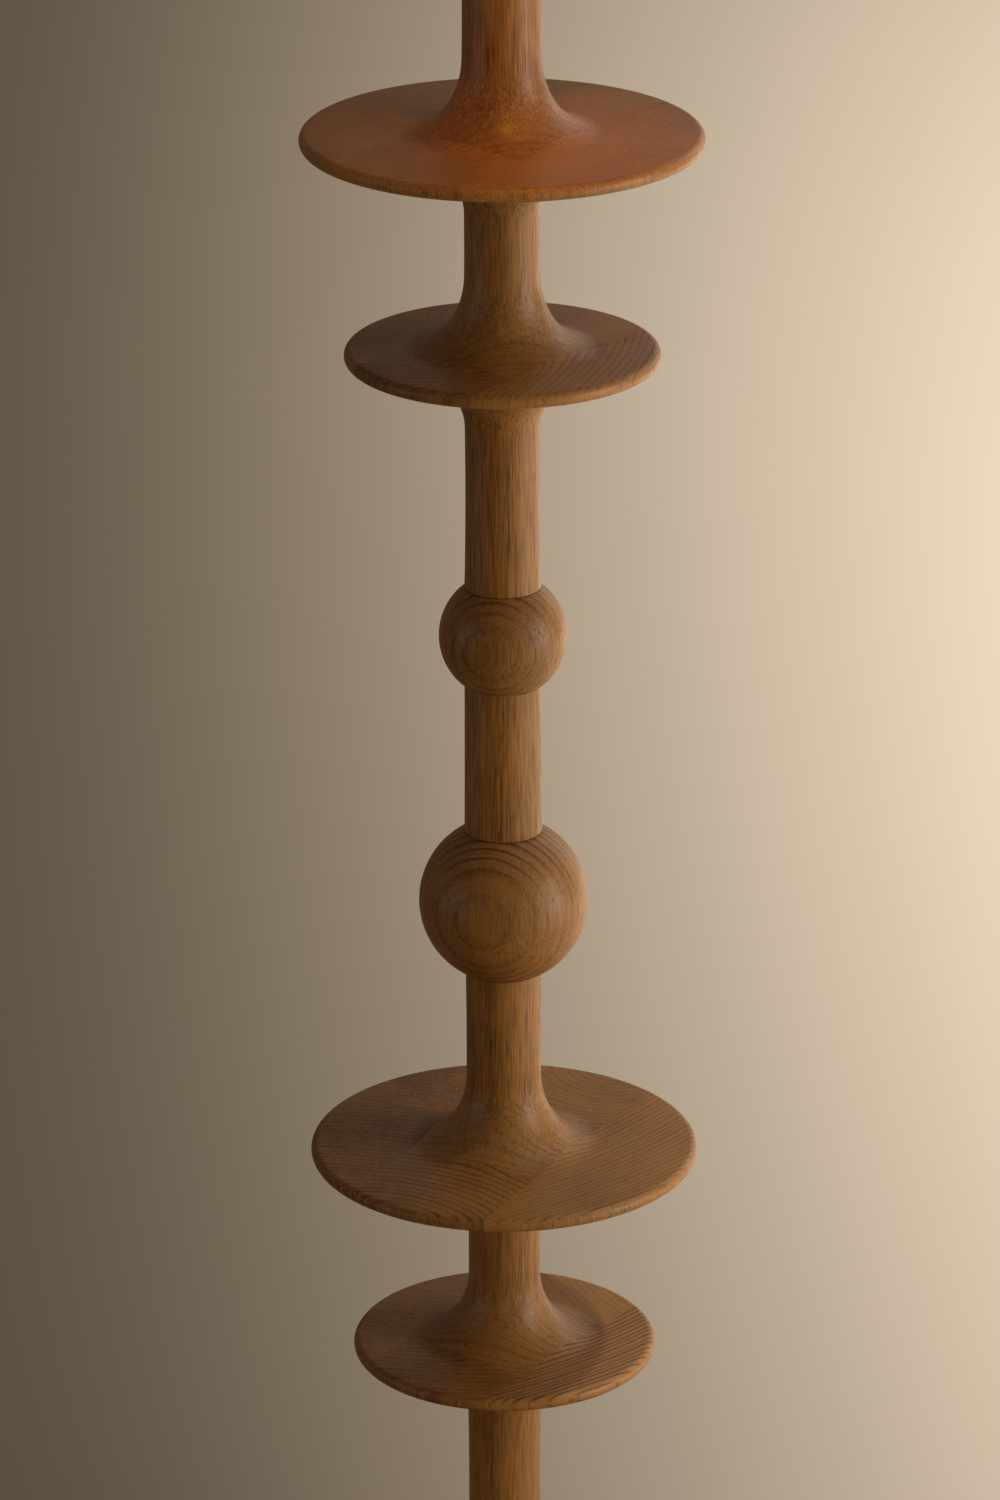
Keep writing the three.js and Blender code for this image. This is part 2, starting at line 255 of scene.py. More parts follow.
def ball_outline(radius, centre, below, above):
    """The outside of a ball, from the radius of the stem below to that of the stem above."""
    start = -math.degrees(math.acos(below / radius))
    end = math.degrees(math.acos(above / radius))
    points = arc((0, centre), radius, start, end - start, BALL_STEPS)
    points[0] = (points[0][0], points[0][1] + SEAM)
    return points


def disc_outline(radius, bottom, top, below, above):
    """The outside of a disc: up the lower cove, round the rim and up the upper cove."""
    half = DISC_RIM_THICKNESS / 2
    centre = top - UPPER_COVE[1] - half
    underside = (below + LOWER_COVE[0], centre - half - LOWER_COVE[1])
    topside = (above + UPPER_COVE[0], top)
    lower = ellipse(underside, *LOWER_COVE, 180, -90)
    rim = arc((radius - half, centre), half, -90, 180, 2 * ROUND_STEPS)
    upper = ellipse(topside, *UPPER_COVE, 270, -90)
    outline = [*lower, *rim, *upper]
    outline[0] = (outline[0][0], bottom)
    return outline


# ---- Shader nodes ----

FLAT = (1.0, 1.0, 0.0)  # drops the upright part of a vector

# The Mix node's colour sockets, which share their names with its other sockets.
MIX_FACTOR, MIX_FIRST, MIX_SECOND, MIX_RESULT = 0, 6, 7, 2


def put(tree, socket, value):
    """Links the socket to another socket, or sets its value."""
    if isinstance(value, bpy.types.NodeSocket):
        tree.links.new(value, socket)
    else:
        socket.default_value = value


def node(tree, kind, inputs=(), **settings):
    made = tree.nodes.new("ShaderNode" + kind)
    for name, value in settings.items():
        setattr(made, name, value)
    for name, value in dict(inputs).items():
        put(tree, made.inputs[name], value)
    return made


def calc(tree, operation, *values, clamp=False):
    made = node(tree, "Math", operation=operation, use_clamp=clamp)
    for socket, value in zip(made.inputs, values):
        put(tree, socket, value)
    return made.outputs[0]


def vector_calc(tree, operation, *values):
    made = node(tree, "VectorMath", operation=operation)
    for socket, value in zip(made.inputs, values):
        put(tree, socket, value)
    return made.outputs["Value" if operation == "LENGTH" else "Vector"]


def plus(tree, base, value, weight, clamp=False):
    """The base, plus the value times its weight."""
    return calc(tree, "MULTIPLY_ADD", value, weight, base, clamp=clamp)


def vector_of(tree, x, y, z):
    return node(tree, "CombineXYZ", {"X": x, "Y": y, "Z": z}).outputs[0]


def parts_of(tree, vector):
    return node(tree, "SeparateXYZ", {"Vector": vector}).outputs


def from_axis(tree, place):
    """A place's distance from the upright axis."""
    return vector_calc(tree, "LENGTH", vector_calc(tree, "MULTIPLY", place, FLAT))


def object_place(tree):
    return node(tree, "TexCoord").outputs["Object"]


def stretched(tree, vector, along):
    """The vector with its upright part scaled, so that a texture there runs along the grain."""
    return vector_calc(tree, "MULTIPLY", vector, (1, 1, along))


def noise(tree, vector, scale, detail=2.0, roughness=0.5):
    """A noise texture: its value, about 0.5 on average, and its colour."""
    inputs = {"Vector": vector, "Scale": scale, "Detail": detail, "Roughness": roughness}
    made = node(tree, "TexNoise", inputs)
    return made.outputs["Fac"], made.outputs["Color"]


def noise_along(tree, value, scale, detail):
    """A noise texture's value along one number."""
    inputs = {"W": value, "Scale": scale, "Detail": detail}
    return node(tree, "TexNoise", inputs, noise_dimensions="1D").outputs["Fac"]


def grain_noise(tree, place, along, **settings):
    """A noise texture that keeps this part of the upright distance."""
    return noise(tree, stretched(tree, place, along), **settings)


def spread(tree, value, amount):
    """A noise value as a number between -amount and amount."""
    centred = calc(tree, "SUBTRACT", value, 0.5)
    return calc(tree, "MULTIPLY", centred, 2 * amount)


def step(tree, value, start, end, low_value=0.0, high_value=1.0):
    """A smooth step from low_value at start to high_value at end."""
    ends = {"From Min": start, "From Max": end, "To Min": low_value, "To Max": high_value}
    inputs = {"Value": value, **ends}
    return node(tree, "MapRange", inputs, interpolation_type="SMOOTHSTEP").outputs[0]


def blend(tree, factor, first, second):
    made = node(tree, "Mix", data_type="RGBA", clamp_factor=True)
    put(tree, made.inputs[MIX_FACTOR], factor)
    put(tree, made.inputs[MIX_FIRST], first)
    put(tree, made.inputs[MIX_SECOND], second)
    return made.outputs[MIX_RESULT]


# ---- Oak ----

# The oak's inputs, with the values of an ordinary piece. Lengths are in millimetres.
OAK_INPUTS = {
    "Pith": (0.0, 80.0, 0.0),  # the growth rings' centre in the plan
    "Tilt": (0.0, 0.0, 0.0),  # the grain's lean from upright, in radians
    "Ring width": 2.6,
    "First ring": 0.0,  # a distance from the pith at which a ring starts
    "Seed": 0.0,
    "Light": (0.36, 0.165, 0.036, 1.0),
    "Dark": (0.11, 0.04, 0.0065, 1.0),
    "Tone": 0.3,  # from 0, the light wood, to 1, the dark
    "Contrast": 0.3,  # how dark the rings' earlywood is
    "Streaks": 0.5,  # how strongly the fibres show
    "Waviness": 1.0,  # how far the rings wander, in millimetres
}
OAK_INPUT_KINDS = {
    "Pith": "NodeSocketVector",
    "Tilt": "NodeSocketVector",
    "Light": "NodeSocketColor",
    "Dark": "NodeSocketColor",
}
OAK_OUTPUTS = {
    "Color": "NodeSocketColor",
    "Roughness": "NodeSocketFloat",
    "Height": "NodeSocketFloat",
}
SEED_SHIFT = (37.0, 53.0, 91.0)  # how far one seed's textures lie from the next one's

# The noises, by the part of the upright distance that they keep and their scale per millimetre.
WANDER = {"along": 0.12, "scale": 0.035}  # moves the rings
FUZZ = {"along": 0.1, "scale": 0.9, "detail": 1.0}  # roughens their edges
SWAY = {"along": 0.4, "scale": 0.11}  # moves the fibres
FIBRES = {"along": 0.03, "scale": 2.2, "detail": 1.5, "roughness": 0.6}
BROAD_STREAKS = {"along": 0.035, "scale": 0.45}
CLOUDS = {"along": 0.35, "scale": 0.03, "detail": 3.0}
RING_DRIFT = {"scale": 0.55, "detail": 1.0}  # makes some rings wider than others
PORES_ALONG = 0.05
PORE_SCALE = 1.5

FUZZ_REACH = 0.12  # millimetres
SWAY_REACH = (0.7, 0.7, 0.0)  # millimetres
DRIFT_REACH = 0.3  # rings
EARLYWOOD_PORES = 0.45  # how much likelier a pore is to be open in the earlywood
RAYS_AROUND = 90.0  # how often the rays change in a radian round the pith,
RAYS_OUTWARD = 0.1  # in a millimetre away from it
RAYS_UPWARD = 0.08  # and in a millimetre up

# The smooth steps: where each starts and ends, and its values there if they aren't 0 and 1.
EARLYWOOD_FADES = (0.08, 0.42, 1.0, 0.0)  # outward through a year's ring
NEXT_YEAR_STARTS = (0.94, 1.0)
PORE_EDGE = (0.16, 0.34, 1.0, 0.0)  # out from a pore's middle
PORE_OPENS = (0.6, 0.8)
RAY_SHOWS = (0.6, 0.75)
END_GRAIN = (0.25, 0.95)  # from a face that stands upright to one that lies flat
FIBRES_FADE = (0.1, 0.85, 1.0, 0.8)  # likewise
RINGS_ON_LONG_GRAIN = (0.35, 0.65, 0.18, 0.34)  # how strong they are, by the broad streaks

# What each adds to the tone. The fibres and the broad streaks are also times the wood's Streaks.
VINTAGE_TONE = 0.05  # each year's own
FIBRE_TONE = 2.3
BROAD_STREAK_TONE = 0.7
CLOUD_TONE = 0.5
PORE_TONE = 0.4
RAY_TONE = -0.08
END_GRAIN_SHADE = 0.94  # this one multiplies the colour

OILED_ROUGHNESS = 0.33  # to which the next three are added
END_GRAIN_ROUGHNESS = 0.06
PORE_ROUGHNESS = 0.25
FIBRE_ROUGHNESS = 0.12

# The parts of the surface's height.
PORE_HEIGHT = -1.0
FIBRE_HEIGHT = 0.35
EARLYWOOD_HEIGHT = -0.25


def growth_rings(tree, given, shifted, from_pith):
    """Each point's wandering place, its distance from the pith, its year and its earlywood."""
    _, wander = grain_noise(tree, shifted, **WANDER)
    reach = calc(tree, "MULTIPLY", given["Waviness"], 2.0)
    centred = vector_calc(tree, "SUBTRACT", wander, (0.5, 0.5, 0.5))
    sideways = vector_of(tree, reach, reach, 0.0)
    wandering = vector_calc(tree, "MULTIPLY_ADD", centred, sideways, from_pith)
    radius = from_axis(tree, wandering)
    fuzz, _ = grain_noise(tree, shifted, **FUZZ)
    rough_radius = calc(tree, "ADD", radius, spread(tree, fuzz, FUZZ_REACH))
    beyond_first = calc(tree, "SUBTRACT", rough_radius, given["First ring"])
    count = calc(tree, "DIVIDE", beyond_first, given["Ring width"])
    drift = noise_along(tree, calc(tree, "ADD", count, given["Seed"]), **RING_DRIFT)
    age = calc(tree, "ADD", count, spread(tree, drift, DRIFT_REACH))
    phase = calc(tree, "FRACT", age)
    year = calc(tree, "ADD", calc(tree, "FLOOR", age), given["Seed"])
    fading = step(tree, phase, *EARLYWOOD_FADES)
    starting = step(tree, phase, *NEXT_YEAR_STARTS)
    return wandering, radius, year, calc(tree, "MAXIMUM", fading, starting)


def pores(tree, shifted, early):
    """1 in an open pore: a long tube, more often open in the earlywood."""
    inputs = {"Vector": stretched(tree, shifted, PORES_ALONG), "Scale": PORE_SCALE}
    tubes = node(tree, "TexVoronoi", inputs).outputs
    hole = step(tree, tubes["Distance"], *PORE_EDGE)
    chance = node(tree, "SeparateColor", {"Color": tubes["Color"]}).outputs[0]
    open_one = step(tree, plus(tree, chance, early, EARLYWOOD_PORES), *PORE_OPENS)
    return calc(tree, "MULTIPLY", hole, open_one)


def rays(tree, wandering, radius):
    """1 in a medullary ray, which runs out from the pith."""
    parts = parts_of(tree, wandering)
    angle = calc(tree, "ARCTAN2", parts["Y"], parts["X"])
    around = calc(tree, "MULTIPLY", angle, RAYS_AROUND)
    outward = calc(tree, "MULTIPLY", radius, RAYS_OUTWARD)
    upward = calc(tree, "MULTIPLY", parts["Z"], RAYS_UPWARD)
    chance, _ = noise(tree, vector_of(tree, around, outward, upward), scale=1.0, detail=1.0)
    return step(tree, chance, *RAY_SHOWS)


def oak_group():
    """Solid oak: growth rings round an upright pith, with pores, fibres and rays."""
    tree = bpy.data.node_groups.new("Oak", "ShaderNodeTree")
    for name, value in OAK_INPUTS.items():
        kind = OAK_INPUT_KINDS.get(name, "NodeSocketFloat")
        socket = tree.interface.new_socket(name, in_out="INPUT", socket_type=kind)
        socket.default_value = value
    for name, kind in OAK_OUTPUTS.items():
        tree.interface.new_socket(name, in_out="OUTPUT", socket_type=kind)
    given = tree.nodes.new("NodeGroupInput").outputs
    result = tree.nodes.new("NodeGroupOutput").inputs

    texture = node(tree, "TexCoord").outputs
    in_mm = (1 / MM, 1 / MM, 1 / MM)
    inputs = {"Vector": texture["Object"], "Rotation": given["Tilt"], "Scale": in_mm}
    leaning = node(tree, "Mapping", inputs).outputs[0]
    from_pith = vector_calc(tree, "SUBTRACT", leaning, given["Pith"])
    seeds = vector_of(tree, given["Seed"], given["Seed"], given["Seed"])
    shifted = vector_calc(tree, "MULTIPLY_ADD", seeds, SEED_SHIFT, leaning)
    facing_up = calc(tree, "ABSOLUTE", parts_of(tree, texture["Normal"])["Z"])
    end_grain = step(tree, facing_up, *END_GRAIN)

    wandering, radius, year, early = growth_rings(tree, given, shifted, from_pith)
    vintage = node(tree, "TexWhiteNoise", {"W": year}, noise_dimensions="1D").outputs["Value"]
    pore = pores(tree, shifted, early)
    ray = rays(tree, wandering, radius)
    _, sway = grain_noise(tree, shifted, **SWAY)
    swaying = vector_calc(tree, "MULTIPLY_ADD", sway, SWAY_REACH, shifted)
    fine, _ = grain_noise(tree, swaying, **FIBRES)
    broad, _ = grain_noise(tree, swaying, **BROAD_STREAKS)
    cloud, _ = grain_noise(tree, shifted, **CLOUDS)

    # Tone: 0 is the light wood and 1 the dark.
    patchy = step(tree, broad, *RINGS_ON_LONG_GRAIN)
    ring = calc(tree, "MULTIPLY", early, calc(tree, "MAXIMUM", patchy, end_grain))
    fibre_tone = spread(tree, fine, FIBRE_TONE)
    streaks = calc(tree, "ADD", fibre_tone, spread(tree, broad, BROAD_STREAK_TONE))
    streak = calc(tree, "MULTIPLY", streaks, step(tree, facing_up, *FIBRES_FADE))
    tone = plus(tree, given["Tone"], ring, given["Contrast"])
    tone = calc(tree, "ADD", tone, spread(tree, vintage, VINTAGE_TONE))
    tone = plus(tree, tone, streak, given["Streaks"])
    tone = calc(tree, "ADD", tone, spread(tree, cloud, CLOUD_TONE))
    tone = plus(tree, tone, pore, PORE_TONE)
    tone = plus(tree, tone, ray, RAY_TONE, clamp=True)
    colour = blend(tree, tone, given["Light"], given["Dark"])
    shading = calc(tree, "MULTIPLY", end_grain, 1 - END_GRAIN_SHADE)
    shade = calc(tree, "SUBTRACT", 1.0, shading)
    shaded = vector_calc(tree, "MULTIPLY", colour, vector_of(tree, shade, shade, shade))
    put(tree, result["Color"], shaded)

    roughness = plus(tree, OILED_ROUGHNESS, end_grain, END_GRAIN_ROUGHNESS)
    roughness = plus(tree, roughness, pore, PORE_ROUGHNESS)
    put(tree, result["Roughness"], plus(tree, roughness, fine, FIBRE_ROUGHNESS))
    height = plus(tree, spread(tree, fine, FIBRE_HEIGHT), pore, PORE_HEIGHT)
    put(tree, result["Height"], plus(tree, height, early, EARLYWOOD_HEIGHT))
    return tree


OAK = oak_group()


# ---- Materials ----

BRASS_CLEAN = (0.72, 0.47, 0.16, 1)
BRASS_TARNISHED = (0.5, 0.28, 0.09, 1)
FELT_DARK = (0.012, 0.011, 0.01, 1)
FELT_LIGHT = (0.06, 0.055, 0.048, 1)
FLOOR_LIGHT = (0.405, 0.352, 0.282, 1)
FLOOR_DARK = (0.395, 0.343, 0.275, 1)
MOTTLED_STEEL = 0.72  # how dark the steel's darker patches are beside its colour
STEEL_COLOURS = {
    "ballast_plate": (0.3, 0.31, 0.33, 1),
    "ballast_screw_1": (0.55, 0.52, 0.42, 1),
    "ballast_screw_2": (0.55, 0.52, 0.42, 1),
    "ballast_screw_3": (0.55, 0.52, 0.42, 1),
    "tie_rod": (0.5, 0.51, 0.53, 1),
    "lower_nut": (0.56, 0.57, 0.58, 1),
    "lower_washer": (0.52, 0.53, 0.55, 1),
    "upper_nut": (0.56, 0.57, 0.58, 1),
    "upper_washer": (0.52, 0.53, 0.55, 1),
}


def shader(name, **sockets):
    """A new material, its node tree and its Principled shader with these values set."""
    material = bpy.data.materials.new(name)
    material.use_nodes = True
    tree = material.node_tree
    principled = tree.nodes["Principled BSDF"]
    for socket, value in sockets.items():
        principled.inputs[socket.replace("_", " ")].default_value = value
    return material, tree, principled


def bumped(tree, principled, height, distance, strength=1.0):
    """Bumps the surface by the height, over a distance in millimetres."""
    inputs = {"Height": height, "Distance": distance * MM, "Strength": strength}
    put(tree, principled.inputs["Normal"], node(tree, "Bump", inputs).outputs[0])


def oak(name, **changes):
    """An oiled oak material; changes name the oak's inputs, with _ for a space."""
    material, tree, principled = shader(name, Specular_IOR_Level=0.35)
    wood = node(tree, "Group", node_tree=OAK)
    for key, value in OAK_INPUTS.items():
        wood.inputs[key].default_value = changes.get(key.lower().replace(" ", "_"), value)
    put(tree, principled.inputs["Base Color"], wood.outputs["Color"])
    put(tree, principled.inputs["Roughness"], wood.outputs["Roughness"])
    bumped(tree, principled, wood.outputs["Height"], distance=0.08, strength=0.6)
    return material


def steel(name, colour, seed):
    """Zinc-plated steel with a faint mottle and fine scratches."""
    material, tree, principled = shader(name, Metallic=1.0)
    place = vector_calc(tree, "ADD", object_place(tree), (seed, seed, seed))
    mottle, _ = noise(tree, place, scale=140.0, detail=3.0)
    scratch, _ = grain_noise(tree, place, along=0.05, scale=2600.0)
    dark = [MOTTLED_STEEL * value for value in colour[:3]] + [1.0]
    put(tree, principled.inputs["Base Color"], blend(tree, mottle, colour, dark))
    roughness = plus(tree, base=0.25, value=mottle, weight=0.25)
    put(tree, principled.inputs["Roughness"], roughness)
    bumped(tree, principled, scratch, distance=0.02, strength=0.4)
    return material


def brass():
    """Spun brass: fine rings round the axis, and a warm tarnish in patches."""
    material, tree, principled = shader("Brass", Metallic=1.0)
    place = object_place(tree)
    height = parts_of(tree, place)["Z"]
    along_wall = calc(tree, "ADD", from_axis(tree, place), height)
    rings = noise_along(tree, along_wall, scale=4200.0, detail=2.0)
    tarnish, _ = noise(tree, place, scale=70.0, detail=4.0, roughness=0.6)
    patches = step(tree, tarnish, start=0.45, end=0.75)
    colour = blend(tree, patches, BRASS_CLEAN, BRASS_TARNISHED)
    put(tree, principled.inputs["Base Color"], colour)
    roughness = plus(tree, base=0.24, value=patches, weight=0.16)
    put(tree, principled.inputs["Roughness"], roughness)
    bumped(tree, principled, rings, distance=0.015, strength=0.5)
    return material


def felt():
    """Pressed wool felt: short crossing fibres and a soft sheen."""
    sheen = {"Sheen_Weight": 0.5, "Sheen_Roughness": 0.6}
    material, tree, principled = shader("Felt", Specular_IOR_Level=0.1, **sheen)
    place = object_place(tree)
    along_x = vector_calc(tree, "MULTIPLY", place, (0.25, 1.0, 1.0))
    along_y = vector_calc(tree, "MULTIPLY", place, (1.0, 0.3, 1.0))
    one_way, _ = noise(tree, along_x, scale=2400.0, detail=3.0, roughness=0.7)
    other_way, _ = noise(tree, along_y, scale=2000.0, detail=3.0, roughness=0.7)
    fibres = calc(tree, "MAXIMUM", one_way, other_way)
    put(tree, principled.inputs["Base Color"], blend(tree, fibres, FELT_DARK, FELT_LIGHT))
    roughness = plus(tree, base=0.8, value=fibres, weight=0.2, clamp=True)
    put(tree, principled.inputs["Roughness"], roughness)
    bumped(tree, principled, fibres, distance=0.25)
    return material


def plain_ground():
    material, tree, principled = shader("Floor", Specular_IOR_Level=0.2, Roughness=0.9)
    place = object_place(tree)
    mottle, _ = noise(tree, place, scale=3.0, detail=4.0, roughness=0.6)
    grain, _ = noise(tree, place, scale=900.0)
    put(tree, principled.inputs["Base Color"], blend(tree, mottle, FLOOR_LIGHT, FLOOR_DARK))
    bumped(tree, principled, grain, distance=0.05, strength=0.3)
    return material


# ---- The wood of each piece ----

# One square blank runs through the lower discs and another through the upper ones.
LOWER_BLANK = oak(
    "Oak lower blank",
    pith=(17, 40, 0), tilt=(0.01, -0.008, 0), ring_width=2.7, seed=1.3, tone=0.32,
)
MIDDLE_BLANK = oak(
    "Oak middle stem",
    pith=(-30, 75, 0), tilt=(-0.012, 0.006, 0), ring_width=2.4, seed=4.1, tone=0.37,
)
UPPER_BLANK = oak(
    "Oak upper blank",
    pith=(-8, 62, 0), tilt=(0.006, 0.012, 0), ring_width=3.0, seed=7.7, tone=0.37,
    contrast=0.2,
)
LARGE_BALL_OAK = oak(
    "Oak large ball",
    pith=(112, 380, 0), tilt=(0.08, 0, 0), ring_width=3.1, first_ring=369.6, seed=2.2,
    tone=0.38, contrast=0.7, waviness=0.3, streaks=0.35,
)
SMALL_BALL_OAK = oak(
    "Oak small ball",
    pith=(60, 300, 0), ring_width=2.9, seed=5.5,
    tone=0.42, contrast=0.6, waviness=0.4, streaks=0.35,
)
CUP_OAK = oak("Oak cup", pith=(-140, 210, 0), ring_width=2.8, seed=9.4)
FOOT_OAK = oak("Oak foot", pith=(35, 130, 0), ring_width=3.0, seed=3.6)

WOODS = {
    "foot_stem": LOWER_BLANK,
    "lower_small_disc": LOWER_BLANK,
    "lower_neck": LOWER_BLANK,
    "lower_large_disc": LOWER_BLANK,
    "lower_stem": LOWER_BLANK,
    "large_ball": LARGE_BALL_OAK,
    "middle_stem": MIDDLE_BLANK,
    "small_ball": SMALL_BALL_OAK,
    "upper_stem": UPPER_BLANK,
    "upper_small_disc": UPPER_BLANK,
    "upper_neck": UPPER_BLANK,
    "upper_large_disc": UPPER_BLANK,
    "top_stem": UPPER_BLANK,
}
# The wood of each disc's wings: front right, back right, back left and front left.
# Their tones are partly the blocks' own and partly painted light: the lower three discs' left wings
# are darker, as painted shade away from the light on the right, and the top disc's wings are
# lighter, as painted light from the warm glow above.
WING_WOOD_AND_PAINTED_SHADE = {
    "lower_small_disc": (
        {"pith": (-120, 160, 0), "ring_width": 2.1, "contrast": 1.2, "waviness": 0.4, "tone": 0.02},
        {"pith": (150, 90, 0), "ring_width": 2.6, "tone": 0.08},
        {"pith": (40, 170, 0), "ring_width": 2.4, "tone": 0.24},
        {"pith": (6, 180, 0), "ring_width": 2.9, "waviness": 0.5, "tone": 0.36},
    ),
    "lower_large_disc": (
        {"pith": (-129, 153, 0), "ring_width": 2.2, "contrast": 0.5, "waviness": 0.5, "tone": 0.14},
        {"pith": (40, 60, 0), "ring_width": 3.0, "tone": 0.1},
        {"pith": (-70, -120, 0), "ring_width": 2.8, "tone": 0.5},
        {"pith": (-49, -85, 0), "ring_width": 3.1, "contrast": 0.5, "tone": 0.42},
    ),
    "upper_small_disc": (
        {"pith": (-170, 36, 0), "ring_width": 2.4, "contrast": 0.45, "waviness": 0.6, "tone": 0.12},
        {"pith": (90, 120, 0), "ring_width": 2.6, "tone": 0.02},
        {"pith": (-30, -110, 0), "ring_width": 2.9, "tone": 0.48},
        {"pith": (-25, 90, 0), "ring_width": 3.2, "tone": 0.5},
    ),
    "upper_large_disc": (
        {"pith": (140, 160, 0), "ring_width": 2.6, "contrast": 0.25, "tone": 0.17},
        {"pith": (-60, 150, 0), "ring_width": 2.8, "contrast": 0.2, "tone": 0.14},
        {"pith": (60, -170, 0), "ring_width": 2.5, "contrast": 0.2, "tone": 0.12},
        {"pith": (-90, 150, 0), "ring_width": 3.0, "contrast": 0.2, "tone": 0.19},
    ),
}
# The wings' seeds go up by this step, and the first is this many steps up.
WING_SEED_STEP = 11.7
FIRST_WING_SEED = 13


# ---- The pieces ----

def build_stems():
    for name in STEMS:
        bottom = low(name) - GAP + SEAM
        if name == "top_stem":
            top = high(name)
            counterbore = top - COUNTERBORE_DEPTH
            socket = bottom + SPIGOT_HEIGHT + GAP
            profile = [
                *stem_outline(name, bottom, top),
                (SOCKET_RADIUS, top),
                (SOCKET_RADIUS, counterbore),
                (BORE_RADIUS, counterbore),
                (BORE_RADIUS, socket),
                (SOCKET_RADIUS, socket),
                (SOCKET_RADIUS, bottom),
            ]
        else:
            profile = bored(stem_outline(name, bottom, high(name) - SPIGOT_HEIGHT))
        finished(f"{name}_turned", turn(profile), WOODS[name], name)


def build_discs():
    """Each disc is turned from a square core and four wings: two long ones, two short between."""
    half = CORE_SIDE / 2
    wing_seed = FIRST_WING_SEED
    for name, (radius, below, above, degrees) in DISCS.items():
        core = f"{name}_core"
        bottom = low(core) - GAP + SEAM
        top = high(core) - SPIGOT_HEIGHT
        outline = disc_outline(radius, bottom, top, STEMS[below][1], STEMS[above][0])
        # The core's sides face along these directions, wing by wing.
        turned = Matrix.Rotation(math.radians(degrees), 3, "Z")
        sides = [turned @ Vector(side) for side in ((1, 0, 0), (0, 1, 0), (-1, 0, 0), (0, -1, 0))]
        bm = turn(bored(outline))
        keep_behind(bm, [(side * (half - SEAM), side) for side in sides])
        finished(f"{core}_turned", bm, WOODS[name], core)
        for i, side in enumerate(sides):
            wing = f"{name}_wing_{i + 1}"
            planes = [(side * (half + SEAM), -side)]
            if i % 2:
                planes += [(end * half, end) for end in (sides[0], sides[2])]
            bm = turn(bored(outline))
            keep_behind(bm, planes)
            seed = i + WING_SEED_STEP * wing_seed
            # The wing's tone holds the painted shade and painted light that are described above the
            # table of wings.
            wood = oak(f"Oak {name} wing {i + 1}", seed=seed, **WING_WOOD_AND_PAINTED_SHADE[name][i])
            finished(f"{wing}_turned", bm, wood, wing)
            wing_seed += 1


def build_balls():
    for name, (radius, below, above) in BALLS.items():
        below_radius = STEMS[below][1]
        centre = low(name) - GAP + math.sqrt(radius**2 - below_radius**2)
        outline = ball_outline(radius, centre, below_radius, STEMS[above][0])
        finished(f"{name}_turned", turn(bored(outline)), WOODS[name], name)


def build_cup():
    rim = high("candle_cup")
    rim_radius = math.sqrt(CUP_RADIUS**2 - CUP_RIM_ABOVE_CENTRE**2)
    centre = rim - CUP_RIM_ABOVE_CENTRE
    outline = ball_outline(CUP_RADIUS, centre, STEMS["top_stem"][1], rim_radius)
    seam = outline[0][1]
    profile = [
        (0, seam - CUP_SPIGOT_HEIGHT),
        (SPIGOT_RADIUS, seam - CUP_SPIGOT_HEIGHT),
        (SPIGOT_RADIUS, seam),
        *outline[:-1],
        (rim_radius - EASED_EDGE, rim),
        (CUP_BORE_RADIUS + EASED_EDGE, rim),
        (CUP_BORE_RADIUS, rim - EASED_EDGE),
        (CUP_BORE_RADIUS, rim - CUP_BORE_DEPTH),
        (0, rim - CUP_BORE_DEPTH),
    ]
    finished("candle_cup_turned", turn(profile), CUP_OAK, "candle_cup")


def build_foot():
    bottom = low("foot") - GAP + SEAM
    top = high("foot") - SPIGOT_HEIGHT
    rim_top = low("foot") + FOOT_RIM_THICKNESS
    crown = rim_top + FOOT_CROWN_HEIGHT
    small = FOOT_EDGE_ROUND / 2
    upper_edge = (FOOT_RADIUS - FOOT_EDGE_ROUND, rim_top - FOOT_EDGE_ROUND)
    stem = STEMS["foot_stem"][0]
    pocket_top = RECESS_TOP + NUT_POCKET_HEIGHT
    profile = [
        *arc((FOOT_RADIUS - small, bottom + small), small, -90),
        *arc(upper_edge, FOOT_EDGE_ROUND, 0),
        *ellipse((stem + FOOT_COVE_RUN, top), FOOT_COVE_RUN, top - crown, 270, -90),
        (SPIGOT_RADIUS, top),
        (SPIGOT_RADIUS, top + SPIGOT_HEIGHT),
        (BORE_RADIUS, top + SPIGOT_HEIGHT),
        (BORE_RADIUS, pocket_top),
        (NUT_POCKET_RADIUS, pocket_top),
        (NUT_POCKET_RADIUS, RECESS_TOP),
        (RECESS_RADIUS, RECESS_TOP),
        (RECESS_RADIUS, bottom),
    ]
    finished("foot_turned", turn(profile), FOOT_OAK, "foot")


def build_insert():
    """The brass tube with its rolled drip flange."""
    floor = low("candle_insert")
    lip = high("candle_insert")
    half = INSERT_WALL / 2
    flange = lip - FLANGE_RISE - INSERT_WALL
    bore = INSERT_RADIUS - INSERT_WALL
    profile = [
        (0, floor),
        *arc((INSERT_RADIUS - half, floor + half), half, -90),
        (INSERT_RADIUS, flange),
        (FLANGE_SEAT, flange),
        *arc((FLANGE_RADIUS - half, lip - half), half, -60, 180, 2 * ROUND_STEPS),
        (FLANGE_SEAT, flange + INSERT_WALL),
        *arc((bore + INSERT_WALL, flange), INSERT_WALL, 90),
        *arc((bore - INSERT_WALL, floor + 2 * INSERT_WALL), INSERT_WALL, 0, -90),
        (0, floor + INSERT_WALL),
    ]
    finished("candle_insert_spun", turn(profile), brass(), "candle_insert", "insert")


def build_felt():
    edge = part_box("felt_pad")[1]
    radius = edge.x / MM
    thickness = edge.z / MM
    half = thickness / 2
    profile = [
        (0, 0),
        *arc((radius - half, half), half, -90, 180, 2 * ROUND_STEPS),
        (0, thickness),
    ]
    pad = finished("felt_pad_pressed", turn(profile), felt(), "felt_pad")


